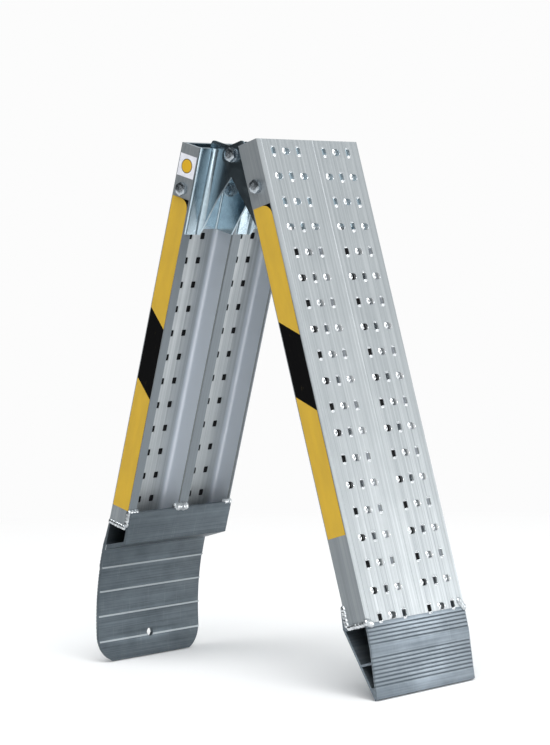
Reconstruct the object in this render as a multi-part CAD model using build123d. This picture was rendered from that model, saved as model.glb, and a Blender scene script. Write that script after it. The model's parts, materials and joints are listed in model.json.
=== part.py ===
from build123d import *
import os
from math import asin, atan2, cos, degrees, hypot, pi, radians, sin

# Folding aluminium dog ramp in two halves, standing as an inverted V. Millimetres, +Z up.
# X runs from the hook half (-X) to the foot half (+X), Y runs across the ramp, and the
# origin is under the middle of the ramp's box, on the floor.
#
# Each half is first drawn flat. u is the distance from the hinge along the half, v the
# distance across from the near rail, and w the depth below the walking surface. In the
# flat drawing x = u, y = v and z = -w, and the hinge pin passes through u = 0.

# ---- Overall ----
plank_width = 105.0          # one extruded plank; two lie side by side in each half
planks_per_half = 2
foot_plank_length = 665.0    # from the hinge to the wedge foot
hook_plank_length = 555.0    # from the hinge to the hook block
pivot_depth = 71.0           # hinge pin below the walking surface
standing_angle = 32.2        # between the two halves as the ramp stands
end_gap = 0.5                # between the two halves' ends when the ramp lies flat

# ---- Plank extrusion ----
rail_height = 34.0
deck_thickness = 2.5
wall_thickness = 2.5
lip_width = 15.0
lip_thickness = 2.5
cove_radius = 5.0            # inside corner under the deck at the plain wall
cove_clearance = 0.5         # between that corner and the bracket's bend
groove_count = 13            # fine lengthwise grooves in the walking surface
groove_width = 2.6
groove_depth = 0.12
bead_offset = 10.5           # raised guide bead from the plain wall's face
bead_width = 2.6
bead_height = 0.5

# ---- Punched grip holes ----
hole_columns = 3
first_column = 29.7          # from the plain wall's face
column_pitch = 25.5
row_pitch = 35.7
hole_across = 8.4
hole_along = 9.5
hole_corner = 1.2
foot_first_row = 17.0        # from the hinge
hook_first_row = 27.0
last_row_margin = 0.5        # left between the last hole and the end of the plank

# ---- Hinge brackets, pressed from galvanised sheet ----
sheet = 3.0
bracket_length = 123.0
ear_gap = 0.4                # between neighbouring ears of the two halves
inner_ear = 31.0             # near face of the hook half's near ear, in its plank
bend_radius = 8.0            # where the lower web turns down into the near ear
corner_radius = 3.0          # the other bends, on the inside
foot_ear_overhang = 14.0     # ears past the end of the half
foot_ear_shoulder = 47.0     # depth at which the overhanging tab starts
foot_ear_drop = 20.0         # ear below the hinge pin
foot_ear_tail = 53.0         # depth of the ear at its far end
hook_ear_overhang = 10.0
hook_ear_shoulder = 25.0
hook_ear_drop = 17.0
hook_ear_tail = 36.0
hook_ear_knee = (68.0, 54.5)  # where the ear's free edge changes slope
knee_radius = 60.0
tab_radius = 5.0
notch_clearance = 1.0        # lip cut away past the bracket

# ---- Fasteners, M10 ----
thread_radius = 5.0
bolt_clearance = 0.25        # on radius, in the planks and bracket walls
pivot_clearance = 0.05       # on radius, running fit of the ears on the pin
head_flats = 17.0
head_height = 6.4
head_chamfer = 1.3
nut_height = 8.0
locknut_height = 10.0
thread_end = 2.0             # thread past the nut
washer_radius = 10.0
washer_thickness = 1.6
sleeve_radius = 8.0
rail_bolt_u = 62.5
nut_clearance = 0.5          # between a rail nut and the bracket's bend

# ---- End pieces ----
lap_under_rails = 28.0       # wedge foot's front flange under the rails
lap_thickness = 4.5
plate = 3.2                  # wall of the wedge foot
foot_knee = 32.0             # from the planks' end to the bend in the top plate
foot_knee_drop = 1.5
foot_length = 100.0
foot_tip_drop = 10.7
foot_tip_thickness = 4.7
foot_heel_depth = 42.4
foot_web_from_end = 50.0
foot_cavity_end = 83.0
rib_pitch = 5.2
rib_groove_width = 1.8
rib_groove_depth = 0.8
foot_front_ribs = 5
foot_rear_ribs = 8
foot_rear_ribs_start = 46.0
hook_lap = 24.0              # hook block's flange under the rails
hook_heel = 23.0             # block's underside past the planks' end
hook_rise = 3.0              # top of the hook above the walking surface
hook_straight = 45.0         # from the planks' end to where the tongue starts to curve
hook_wall = 3.5
tongue_radius = 402.0        # outer face of the curved tongue
tongue_thickness = 5.0
tongue_reach = 163.0         # along the half, from the start of the curve to the tip
tongue_corner = 36.0
tongue_inset = 1.0           # narrower past the first rib
tongue_rib_pitch = 35.5
tongue_rib_start = 27.0
tongue_rib_count = 4
tongue_rib_width = 2.6
tongue_rib_height = 1.0
tongue_hole_radius = 6.0
tongue_hole_reach = 131.0    # from the start of the curve

# ---- Welds, decals and label ----
weld_radius = 2.6
weld_leg = 4.0
corner_weld_length = 14.0
deck_weld_clearance = 0.7    # from the bead over the joint to the raised guide bead
seam_weld_length = 22.0
decal_thickness = 0.3
decal_length = 455.0
decal_margin = 1.5
foot_decal_start = 90.5
hook_decal_start = 75.0
label_size = 31.0
label_start = 14.5

# ---- Worked out from the sizes above ----
ramp_width = plank_width * planks_per_half
half_gap = end_gap / 2
outer_near_ear = inner_ear - ear_gap - sheet
outer_far_ear = plank_width - wall_thickness - sheet
inner_far_ear = outer_far_ear - ear_gap - sheet
corner_fit = max(cove_radius + cove_clearance, corner_radius + sheet)
rail_bolt_w = deck_thickness + corner_fit + head_flats / 2 + nut_clearance
deck_weld_length = bead_offset - bead_width / 2 - deck_weld_clearance
curve_start = hook_plank_length + hook_straight
curve_centre = tongue_radius - hook_rise       # its depth below the walking surface
inner_radius = tongue_radius - tongue_thickness
tongue_sweep = asin(tongue_reach / tongue_radius)


# ---- Shapes drawn in the flat half ----
def across(outline, v0, v1):
    """Outline of (u, w) points or (u, w) edges, carried across the half from v0 to v1."""
    plane = Plane(origin=(0, v0, 0), x_dir=(1, 0, 0), z_dir=(0, -1, 0))
    return extrude(plane * make_face(outline), amount=v1 - v0, dir=(0, 1, 0))


def along(outline, u0, u1):
    """Outline of (v, -w) points carried along the half from u0 to u1."""
    plane = Plane(origin=(u0, 0, 0), x_dir=(0, 1, 0), z_dir=(1, 0, 0))
    return extrude(plane * make_face(outline), amount=u1 - u0, dir=(1, 0, 0))


def block(u0, u1, v0, v1, w0, w1):
    """Box between two distances, two widths and two depths."""
    return Pos((u0 + u1) / 2, (v0 + v1) / 2, -(w0 + w1) / 2) * Box(u1 - u0, v1 - v0, w1 - w0)


def polygon(points):
    """Closed outline through (distance, depth) points."""
    return Polyline(*[(a, -w) for a, w in points], close=True)


def rounded(points):
    """Closed outline through (distance, depth, radius) corners."""
    corners = [(a, -w) for a, w, _ in points]
    return FilletPolyline(*corners, radius=[r for _, _, r in points], close=True)


def rod(radius, u, w, v0, v1):
    """Cylinder across the half."""
    return Pos(u, (v0 + v1) / 2, -w) * Rot(90, 0, 0) * Cylinder(radius, v1 - v0)


# ---- Planks ----
def plank_outline():
    """Section with the plain wall at v = 0 and the lipped wall at the far side."""
    inner = plank_width - wall_thickness
    points = [(0, rail_height), (0, 0)]
    points += [(bead_offset - bead_width / 2, 0), (bead_offset - bead_width / 4, -bead_height)]
    points += [(bead_offset + bead_width / 4, -bead_height), (bead_offset + bead_width / 2, 0)]
    pitch = (plank_width - bead_offset) / (groove_count + 1)
    for index in range(groove_count):
        v = bead_offset + pitch * (index + 1)
        points += [(v - groove_width / 2, 0), (v - groove_width / 4, groove_depth)]
        points += [(v + groove_width / 4, groove_depth), (v + groove_width / 2, 0)]
    points += [(plank_width, 0), (plank_width, rail_height)]
    points += [(plank_width - lip_width, rail_height)]
    points += [(plank_width - lip_width, rail_height - lip_thickness)]
    points += [(inner, rail_height - lip_thickness), (inner, deck_thickness)]
    points += [(wall_thickness, deck_thickness), (wall_thickness, rail_height)]
    return polygon(points)


def cove(length):
    """Filled corner with a hollow round face, under the deck at the plain wall."""
    v, w, r = wall_thickness, deck_thickness, cove_radius
    outline = Polyline((v, -w - r), (v, -w), (v + r, -w))
    outline += CenterArc((v + r, -w - r), r, 90, 90)
    return along(outline, half_gap, length)


def plank(length, first_row):
    """One plank with its punched holes and the lip cut away for the bracket."""
    shape = along(plank_outline(), half_gap, length) + cove(length)
    last = length - hole_along / 2 - last_row_margin
    rows = int((last - first_row) // row_pitch) + 1
    hole = Box(hole_along, hole_across, 4 * deck_thickness)
    hole = fillet(hole.edges().filter_by(Axis.Z), hole_corner)
    holes = []
    for row in range(rows):
        for column in range(hole_columns):
            v = first_column + column * column_pitch
            holes.append(Pos(first_row + row * row_pitch, v, 0) * hole)
    notch_end = bracket_length + notch_clearance
    notch_start = plank_width - lip_width - 1
    notch = block(-1, notch_end, notch_start, plank_width - wall_thickness,
                  rail_height - lip_thickness - 1, rail_height + 1)
    return shape - holes - notch - rail_bolt_holes(0, plank_width)


def rail_bolt_holes(v0, v1):
    """Clearance hole for the rail bolt, right across."""
    return rod(thread_radius + bolt_clearance, rail_bolt_u, rail_bolt_w, v0 - 1, v1 + 1)


def turned(shape):
    """The same plank the other way round: lipped wall at v = 0."""
    return mirror(shape, about=Plane.XZ.offset(-plank_width / 2))


# ---- Hinge brackets ----
def bracket_section(near_ear, far_ear, deepest):
    """Section of the bent sheet: far ear, base, near wall, lower web and near ear."""
    w0 = deck_thickness
    v0 = wall_thickness
    web = rail_height
    outer = corner_radius + sheet
    points = [
        (far_ear + sheet, deepest, 0), (far_ear + sheet, w0, corner_fit),
        (v0, w0, corner_fit), (v0, web, outer), (near_ear, web, bend_radius),
        (near_ear, deepest, 0), (near_ear + sheet, deepest, 0),
        (near_ear + sheet, web - sheet, bend_radius + sheet),
        (v0 + sheet, web - sheet, corner_radius), (v0 + sheet, w0 + sheet, corner_fit - sheet),
        (far_ear, w0 + sheet, corner_fit - sheet), (far_ear, deepest, 0),
    ]
    return rounded(points)


def foot_ear_outline(bottom):
    """Side view of the foot half's bracket, from its end to its tail."""
    points = [(half_gap, 0), (bracket_length, 0), (bracket_length, foot_ear_tail)]
    points += [(half_gap, bottom)]
    return polygon(points)


def hook_ear_outline(bottom):
    """Side view of the hook half's bracket, whose ears slope in two stretches."""
    knee_u, knee_w = hook_ear_knee
    points = [(half_gap, 0, 0), (bracket_length, 0, 0), (bracket_length, hook_ear_tail, 0)]
    points += [(knee_u, knee_w, knee_radius), (half_gap, bottom, 0)]
    return rounded(points)


def ear_tab(near_face, overhang, shoulder, bottom):
    """The part of one ear that stands past the end of its half."""
    points = [(-overhang, shoulder, tab_radius), (half_gap, shoulder, 0)]
    points += [(half_gap, bottom, 0), (-overhang, bottom, overhang)]
    return across(rounded(points), near_face, near_face + sheet)


def bracket(near_ear, far_ear, overhang, shoulder, drop, outline):
    """One hinge bracket with its two ears, pin hole and rail bolt hole."""
    bottom = pivot_depth + drop
    shape = along(bracket_section(near_ear, far_ear, bottom + 1), half_gap, bracket_length)
    shape &= across(outline(bottom), 0, plank_width)
    for ear in (near_ear, far_ear):
        shape += ear_tab(ear, overhang, shoulder, bottom)
    shape -= rod(thread_radius + pivot_clearance, 0, pivot_depth, 0, plank_width)
    return shape - rail_bolt_holes(0, plank_width)


def foot_bracket():
    return bracket(outer_near_ear, outer_far_ear, foot_ear_overhang, foot_ear_shoulder,
                   foot_ear_drop, foot_ear_outline)


def hook_bracket():
    return bracket(inner_ear, inner_far_ear, hook_ear_overhang, hook_ear_shoulder,
                   hook_ear_drop, hook_ear_outline)


# ---- Fasteners, drawn along +Z from the face that the head bears on ----
def hexagon(height):
    """Hexagon prism with its outer corners chamfered, from z = 0 upwards."""
    prism = extrude(RegularPolygon(head_flats / 2, 6, major_radius=False), amount=height)
    disc = Cylinder(head_flats / 2 / cos(pi / 6), height, align=(Align.CENTER, Align.CENTER, Align.MIN))
    return prism & chamfer(disc.edges().sort_by(Axis.Z)[-1], head_chamfer, head_chamfer / 2)


def bolt(length):
    """Hexagon bolt with its shank along +Z."""
    shank = Cylinder(thread_radius, length, align=(Align.CENTER, Align.CENTER, Align.MIN))
    shank = chamfer(shank.edges().sort_by(Axis.Z)[-1], thread_radius / 5)
    return Rot(180, 0, 0) * hexagon(head_height) + shank


def nut(height):
    """Hexagon nut from z = 0 upwards."""
    bore = Cylinder(thread_radius + pivot_clearance, 3 * height)
    return hexagon(height) - bore


def ring(outer_radius, thickness):
    """Flat ring from z = 0 upwards that clears the thread."""
    disc = Cylinder(outer_radius, thickness, align=(Align.CENTER, Align.CENTER, Align.MIN))
    return disc - Cylinder(thread_radius + pivot_clearance, 3 * thickness)


def facing_in(shape, u, w, v):
    """Turn a fastener's +Z to +v and set it at v."""
    return Pos(u, v, -w) * Rot(-90, 0, 0) * shape


def facing_out(shape, u, w, v):
    """Turn a fastener's +Z to -v and set it at v."""
    return Pos(u, v, -w) * Rot(90, 0, 0) * shape


def at_rail(shape, v):
    return facing_in(shape, rail_bolt_u, rail_bolt_w, v)


def at_rail_far(shape, v):
    return facing_out(shape, rail_bolt_u, rail_bolt_w, v)


def rail_fasteners(far_ear):
    """Bolts, nuts and spacers of one half: near rail, centre seam and far rail."""
    inside = wall_thickness + sheet
    centre_head = far_ear
    space = outer_far_ear - far_ear
    grip = inside + nut_height + thread_end
    centre_grip = plank_width + inside - centre_head
    far_inside = plank_width + far_ear
    far_grip = ramp_width - far_inside + nut_height + thread_end
    bolts = [
        at_rail(bolt(grip), 0),
        at_rail(bolt(centre_grip + nut_height + thread_end), centre_head),
        at_rail_far(bolt(far_grip), ramp_width),
    ]
    nuts = [
        at_rail(nut(nut_height), inside),
        at_rail(nut(nut_height), plank_width + inside),
        at_rail_far(nut(nut_height), far_inside),
    ]
    spacers = []
    if space > 0:
        ear_back = far_ear + sheet
        spacers = [at_rail(ring(sleeve_radius, space), ear_back + plank_width * index)
                   for index in range(planks_per_half)]
    return bolts, nuts, spacers


def at_pivot(shape, v):
    return facing_in(shape, 0, pivot_depth, v)


def at_pivot_far(shape, v):
    return facing_out(shape, 0, pivot_depth, v)


def pivot_fasteners():
    """Pin bolt, washers, locknut and sleeve through the four ears of each plank pair."""
    near = outer_near_ear
    far = outer_far_ear + sheet
    length = far - near + 2 * washer_thickness + locknut_height + thread_end
    shift = ramp_width - plank_width
    bolts = [at_pivot(bolt(length), near - washer_thickness)]
    bolts += [at_pivot_far(bolt(length), shift + far + washer_thickness)]
    nuts = [at_pivot(nut(locknut_height), far + washer_thickness)]
    nuts += [at_pivot_far(nut(locknut_height), shift + near - washer_thickness)]
    washers = []
    sleeves = []
    sleeve_length = inner_far_ear - inner_ear - sheet
    for index in range(planks_per_half):
        v = plank_width * index
        washers.append(at_pivot(ring(washer_radius, washer_thickness), v + near - washer_thickness))
        washers.append(at_pivot(ring(washer_radius, washer_thickness), v + far))
        sleeves.append(at_pivot(ring(sleeve_radius, sleeve_length), v + inner_ear + sheet))
    return bolts, washers, nuts, sleeves


# ---- Wedge foot ----
def foot_top(u):
    """Depth of the wedge foot's top plate."""
    reach = u - foot_plank_length
    if reach <= foot_knee:
        return foot_knee_drop * reach / foot_knee
    slope = (foot_tip_drop - foot_knee_drop) / (foot_length - foot_knee)
    return foot_knee_drop + slope * (reach - foot_knee)


def foot_bottom(u):
    """Depth of the wedge foot's sloping underside."""
    reach = u - foot_plank_length
    tip = foot_tip_drop + foot_tip_thickness
    return foot_heel_depth + (tip - foot_heel_depth) * reach / foot_length


def foot_cavity(u0, u1):
    """One of the hollows that run across inside the wedge."""
    points = [(u0, foot_top(u0) + plate), (u1, foot_top(u1) + plate)]
    points += [(u1, foot_bottom(u1) - plate), (u0, foot_bottom(u0) - plate)]
    if u0 < foot_plank_length + foot_knee < u1:
        knee = foot_plank_length + foot_knee
        points.insert(1, (knee, foot_top(knee) + plate))
    return across(polygon(points), -1, ramp_width + 1)


def rib_groove(u):
    """One shallow groove between two grip ribs on the top plate."""
    half = rib_groove_width / 2
    points = [(u - half, foot_top(u - half) - 0.1), (u + half, foot_top(u + half) - 0.1)]
    points += [(u, foot_top(u) + rib_groove_depth)]
    return across(polygon(points), -1, ramp_width + 1)


def wedge_foot():
    """Hollow extrusion that ends the ramp in a thin edge on the ground."""
    end = foot_plank_length
    tip = end + foot_length
    flange = end - lap_under_rails
    points = [(end, 0), (end + foot_knee, foot_knee_drop), (tip - 1, foot_tip_drop)]
    points += [(tip, foot_tip_drop + foot_tip_thickness), (end, foot_heel_depth)]
    points += [(flange, rail_height + lap_thickness), (flange, rail_height), (end, rail_height)]
    shape = across(polygon(points), 0, ramp_width)
    web = end + foot_web_from_end
    shape -= foot_cavity(end + plate, web)
    shape -= foot_cavity(web + plate, end + foot_cavity_end)
    for index in range(foot_front_ribs):
        shape -= rib_groove(end + rib_pitch * (index + 1.2))
    for index in range(foot_rear_ribs):
        shape -= rib_groove(end + foot_rear_ribs_start + rib_pitch * index)
    return shape


# ---- Hook ----
def on_curve(radius, angle):
    """Point (u, w) of the tongue at a radius and an angle from where the curve starts."""
    return (curve_start + radius * sin(angle), curve_centre - radius * cos(angle))


def arc(radius, start, end):
    """Arc of the tongue in the flat drawing."""
    points = [on_curve(radius, angle) for angle in (start, (start + end) / 2, end)]
    return ThreePointArc(*[(u, -w) for u, w in points])


def tongue_sector(outer, inner, start, end):
    """Piece of a curved plate between two radii and two angles, right across."""
    outline = arc(outer, start, end)
    for angle in (start, end):
        ends = [on_curve(radius, angle) for radius in (outer, inner)]
        outline += Line(*[(u, -w) for u, w in ends])
    outline += arc(inner, start, end)
    return across(outline, 0, ramp_width)


def tongue_groove(angle):
    """Shallow groove between two grip ribs on the tongue's upper face."""
    half = rib_groove_width / 2 / tongue_radius
    points = [on_curve(tongue_radius + 0.1, angle - half)]
    points += [on_curve(tongue_radius + 0.1, angle + half)]
    points += [on_curve(tongue_radius - rib_groove_depth, angle)]
    return across(polygon(points), -1, ramp_width + 1)


def hook_block():
    """Hollow block that the tongue springs from, with its flange under the rails."""
    end = hook_plank_length
    heel = end + hook_heel
    under = rail_height + lap_thickness
    points = [(end, 0), (end + hook_straight / 2, -hook_rise / 2)]
    points += [(end + 0.8 * hook_straight, -hook_rise), (curve_start, -hook_rise)]
    points += [(curve_start, tongue_thickness - hook_rise), (heel, under)]
    points += [(end - hook_lap, under), (end - hook_lap, rail_height), (end, rail_height)]
    shape = across(polygon(points), 0, ramp_width)
    wall = hook_wall
    top = tongue_thickness - hook_rise + 0.5
    inside = [(end + wall, top), (curve_start - 2.5 * wall, top)]
    inside += [(heel - 0.8 * wall, under - wall), (end + wall, under - wall)]
    return shape - across(polygon(inside), -1, ramp_width + 1)


def tongue_plan():
    """Tongue's outline from above, as a tall prism that trims its corners."""
    first_rib = curve_start + tongue_rib_start
    tip = curve_start + tongue_reach + 5
    start = hook_plank_length - hook_lap - 5
    full = block(start, first_rib, 0, ramp_width, -60, 90)
    narrow = block(first_rib - 1, curve_start + tongue_reach, tongue_inset,
                   ramp_width - tongue_inset, -60, 90)
    corners = narrow.edges().filter_by(Axis.Z).sort_by(Axis.X)[-2:]
    return full + fillet(corners, min(tongue_corner, tip - first_rib))


def tongue_hole():
    """Hole through the tongue for a tether, square to its surface."""
    angle = asin(tongue_hole_reach / (tongue_radius - tongue_thickness / 2))
    u, w = on_curve(tongue_radius - tongue_thickness / 2, angle)
    hole = Cylinder(tongue_hole_radius, 6 * tongue_thickness)
    return Pos(u, ramp_width / 2, -w) * Rot(0, degrees(angle), 0) * hole


def hook_lip():
    """Hook block and curved tongue, one extrusion."""
    shape = hook_block() + tongue_sector(tongue_radius, inner_radius, 0, tongue_sweep)
    for index in range(tongue_rib_count):
        reach = tongue_rib_start + tongue_rib_pitch * index
        angle = asin(reach / inner_radius)
        half = tongue_rib_width / 2 / inner_radius
        low = inner_radius - tongue_rib_height
        shape += tongue_sector(inner_radius + 0.2, low, angle - half, angle + half)
    step = rib_pitch / tongue_radius
    for index in range(1, int(tongue_sweep / step)):
        shape -= tongue_groove(index * step)
    return (shape & tongue_plan()) - tongue_hole()


# ---- Weld beads ----
def side_bead(v, outward, u0, u1, end):
    """Bead on a rail's outer face: along the flange, then up the joint to the deck."""
    run = Pos((u0 + u1) / 2, v, -rail_height) * Rot(0, 90, 0) * Cylinder(weld_radius, u1 - u0)
    rise = Pos(end, v, -rail_height / 2) * Cylinder(weld_radius, rail_height - 2 * weld_radius)
    size = 4 * weld_radius
    keep = Pos((u0 + u1) / 2, v + outward * size / 2, 0) * Box(4 * (u1 - u0), size, 4 * rail_height)
    return [run & keep, rise & keep]


def fillet_bead(u, v0, v1):
    """Triangular bead between a flange's front edge and the rails' underside."""
    points = [(u - weld_leg, rail_height), (u, rail_height), (u, rail_height + weld_leg)]
    return across(polygon(points), v0, v1)


def deck_bead(u, v0, v1):
    """Half-round bead over the joint in the walking surface."""
    bead = rod(weld_radius, u, 0, v0, v1)
    return bead & block(u - 9, u + 9, v0, v1, -9, 0)


def foot_welds():
    end = foot_plank_length
    flange = end - lap_under_rails
    seam = plank_width - seam_weld_length / 2
    beads = [fillet_bead(flange, 0, corner_weld_length)]
    beads += [fillet_bead(flange, seam, seam + seam_weld_length)]
    beads += [fillet_bead(flange, ramp_width - corner_weld_length, ramp_width)]
    beads += [deck_bead(end, 0, deck_weld_length)]
    beads += [deck_bead(end, ramp_width - deck_weld_length, ramp_width)]
    for v, outward in ((0, -1), (ramp_width, 1)):
        beads += side_bead(v, outward, flange, end - 2 * weld_radius, end)
    return beads


def hook_welds():
    end = hook_plank_length
    flange = end - hook_lap
    seam = plank_width - seam_weld_length / 2
    beads = [fillet_bead(flange, 0, corner_weld_length)]
    beads += [fillet_bead(flange, seam, seam + seam_weld_length)]
    beads += [fillet_bead(flange, ramp_width - corner_weld_length, ramp_width)]
    for v, outward in ((0, -1), (ramp_width, 1)):
        beads += side_bead(v, outward, flange, end - 2 * weld_radius, end)
    return beads


# ---- Decals ----
def decal(start, v0):
    """Printed film on a rail, from a little under the deck to a little above the lip."""
    low = rail_height - decal_margin
    return block(start, start + decal_length, v0, v0 + decal_thickness, decal_margin, low)


def warning_label():
    """Square film near the hinge."""
    top = (rail_height - label_size) / 2
    return block(label_start, label_start + label_size, -decal_thickness, 0, top, top + label_size)


# ---- The two halves ----
def lean_angles():
    """Angle of each half from upright, so that both tips stand on the floor."""
    foot_u = foot_plank_length + foot_length
    foot_rise = pivot_depth - foot_tip_drop - foot_tip_thickness
    hook_u, hook_w = on_curve(tongue_radius, tongue_sweep)
    hook_rise_in = pivot_depth - hook_w
    foot_reach, foot_phase = hypot(foot_u, foot_rise), atan2(foot_rise, foot_u)
    hook_reach, hook_phase = hypot(hook_u, hook_rise_in), atan2(hook_rise_in, hook_u)
    total = radians(standing_angle) + foot_phase + hook_phase
    foot_total = atan2(foot_reach - hook_reach * cos(total), hook_reach * sin(total))
    foot_lean = foot_total - foot_phase
    return degrees(foot_lean), standing_angle - degrees(foot_lean)


def pair(shape):
    """Near and far copies of a piece that each plank has."""
    return shape, Pos(0, plank_width, 0) * shape


def foot_half():
    """Every piece that moves with the foot half, in the flat drawing."""
    planks = pair(plank(foot_plank_length, foot_first_row))
    brackets = pair(foot_bracket())
    bolts, nuts, _ = rail_fasteners(outer_far_ear)
    pins, washers, locknuts, _ = pivot_fasteners()
    return {
        "foot_near_plank": planks[0],
        "foot_far_plank": planks[1],
        "foot_near_bracket": brackets[0],
        "foot_far_bracket": brackets[1],
        "foot_rail_bolts": bolts,
        "foot_rail_nuts": nuts,
        "pivot_bolts": pins,
        "pivot_washers": washers,
        "pivot_locknuts": locknuts,
        "wedge_foot": wedge_foot(),
        "foot_welds": foot_welds(),
        "foot_near_decal": decal(foot_decal_start, -decal_thickness),
        "foot_far_decal": decal(foot_decal_start, ramp_width),
    }


def hook_half():
    """Every piece that moves with the hook half, in the flat drawing."""
    planks = pair(turned(plank(hook_plank_length, hook_first_row)))
    brackets = pair(hook_bracket())
    bolts, nuts, spacers = rail_fasteners(inner_far_ear)
    _, _, _, sleeves = pivot_fasteners()
    return {
        "hook_near_plank": planks[0],
        "hook_far_plank": planks[1],
        "hook_near_bracket": brackets[0],
        "hook_far_bracket": brackets[1],
        "hook_rail_bolts": bolts,
        "hook_rail_nuts": nuts,
        "hook_bolt_spacers": spacers,
        "pivot_sleeves": sleeves,
        "hook_lip": hook_lip(),
        "hook_welds": hook_welds(),
        "hook_near_decal": decal(hook_decal_start, -decal_thickness),
        "hook_far_decal": decal(hook_decal_start, ramp_width),
        "warning_label": warning_label(),
    }


def stand(shape, lean, hooked):
    """Lean a flat piece about the hinge pin; the hook half goes to the other side."""
    solids = shape if isinstance(shape, list) else [shape]
    if hooked:
        solids = [mirror(solid, about=Plane.YZ) for solid in solids]
    turn = lean - 90 if hooked else 90 - lean
    place = Rot(0, turn, 0) * Pos(0, -ramp_width / 2, pivot_depth)
    return [place * solid for solid in solids]


def whole_box(nodes):
    """Lowest and highest corner of all the pieces."""
    boxes = [solid.bounding_box() for solids in nodes.values() for solid in solids]
    low = [min(getattr(box.min, axis) for box in boxes) for axis in "XYZ"]
    high = [max(getattr(box.max, axis) for box in boxes) for axis in "XYZ"]
    return low, high


def main():
    foot_lean, hook_lean = lean_angles()
    nodes = {name: stand(shape, foot_lean, False) for name, shape in foot_half().items()}
    nodes.update({name: stand(shape, hook_lean, True) for name, shape in hook_half().items()})
    low, high = whole_box(nodes)
    shift = Pos(-(low[0] + high[0]) / 2, -(low[1] + high[1]) / 2, -low[2])
    os.makedirs("parts", exist_ok=True)
    for name, solids in nodes.items():
        placed = [shift * solid for solid in solids]
        shape = placed[0] if len(placed) == 1 else Compound(children=placed)
        export_step(shape, f"parts/{name}.step")
    print("lean of the halves, degrees:", round(foot_lean, 4), round(hook_lean, 4))
    print("hinge pin at x, z:", round(-(low[0] + high[0]) / 2, 4), round(-low[2], 4))
    print("box:", [round(b - a, 2) for a, b in zip(low, high)])


main()
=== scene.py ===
"""Looks of the folding aluminium ramp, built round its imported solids. Metres, +Z up."""
import json
import logging
import math
import random
from dataclasses import dataclass, field
from enum import Enum

import bmesh
import bpy
from mathutils import Matrix, Vector


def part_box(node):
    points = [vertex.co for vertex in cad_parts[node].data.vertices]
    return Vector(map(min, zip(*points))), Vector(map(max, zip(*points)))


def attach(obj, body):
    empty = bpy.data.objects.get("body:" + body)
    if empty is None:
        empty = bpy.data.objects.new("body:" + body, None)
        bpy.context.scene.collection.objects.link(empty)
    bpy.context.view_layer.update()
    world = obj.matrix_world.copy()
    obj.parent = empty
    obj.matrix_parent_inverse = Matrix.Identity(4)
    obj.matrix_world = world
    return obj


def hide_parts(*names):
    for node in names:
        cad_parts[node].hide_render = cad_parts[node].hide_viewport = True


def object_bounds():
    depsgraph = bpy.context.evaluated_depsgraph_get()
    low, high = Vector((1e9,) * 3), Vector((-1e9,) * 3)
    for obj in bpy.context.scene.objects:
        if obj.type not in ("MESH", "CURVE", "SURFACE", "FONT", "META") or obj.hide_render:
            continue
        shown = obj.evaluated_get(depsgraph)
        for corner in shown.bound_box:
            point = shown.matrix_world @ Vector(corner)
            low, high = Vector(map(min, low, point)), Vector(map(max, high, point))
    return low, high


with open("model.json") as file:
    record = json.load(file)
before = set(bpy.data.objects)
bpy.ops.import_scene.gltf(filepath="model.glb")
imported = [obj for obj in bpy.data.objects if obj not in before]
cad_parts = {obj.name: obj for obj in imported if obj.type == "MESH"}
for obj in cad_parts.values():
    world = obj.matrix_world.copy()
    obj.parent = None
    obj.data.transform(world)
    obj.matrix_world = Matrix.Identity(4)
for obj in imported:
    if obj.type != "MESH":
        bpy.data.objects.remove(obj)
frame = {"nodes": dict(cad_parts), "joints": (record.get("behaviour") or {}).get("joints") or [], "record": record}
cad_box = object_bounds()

log = logging.getLogger("ramp")
MM = 0.001
METRE = 1000.0


# ---- Frames of the two halves ----
class Side(Enum):
    """Which half of the ramp."""

    FOOT = "foot_half"
    HOOK = "hook_half"


@dataclass(frozen=True)
class Half:
    """One half laid flat: u along it from the hinge, v across it, w below the walking surface."""

    side: Side
    lean: float
    pin: Vector
    near_edge: float
    pivot_depth: float = 71.0
    width: float = 210.0

    @property
    def body(self) -> str:
        """Name of the CAD body that the half's pieces ride on."""
        return self.side.value

    @property
    def turned(self) -> bool:
        """Whether laying the half flat also mirrors it."""
        return self.side is Side.HOOK

    @property
    def down(self) -> Vector:
        """Direction of u, down the half."""
        sign = -1 if self.turned else 1
        return Vector((sign * math.sin(self.lean), 0, -math.cos(self.lean)))

    @property
    def outward(self) -> Vector:
        """Direction out of the walking surface."""
        sign = -1 if self.turned else 1
        return Vector((sign * math.cos(self.lean), 0, math.sin(self.lean)))

    @property
    def origin(self) -> Vector:
        """World point of u = v = w = 0."""
        lift = self.outward * (self.pivot_depth * MM)
        return Vector((self.pin.x, self.near_edge, self.pin.z)) + lift

    def matrix(self) -> Matrix:
        """Matrix from flat coordinates (u, v, -w) in millimetres to the world.

        Returns:
            The matrix.
        """
        columns = (self.down * MM, Vector((0, MM, 0)), self.outward * MM, self.origin)
        rows = [[column[i] for column in columns] for i in range(3)]
        return Matrix((*rows, (0, 0, 0, 1)))


def read_halves() -> tuple[Half, Half]:
    """Work the two halves' places out from the record's joint and mounts.

    Returns:
        The foot half and the hook half.
    """
    fold = frame["joints"][0]
    pin = Vector(fold["pos_m"])
    mounts = {mount["name"]: mount for mount in frame["record"]["mounts"]}
    sill = mounts["sill_face"]["axis"]
    hook_lean = math.atan2(-sill[2], sill[0])
    foot_lean = math.radians(-fold["range_deg"][0]) - hook_lean
    near_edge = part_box("foot_near_plank")[0].y
    foot = Half(Side.FOOT, foot_lean, pin, near_edge)
    return foot, Half(Side.HOOK, hook_lean, pin, near_edge)


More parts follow.
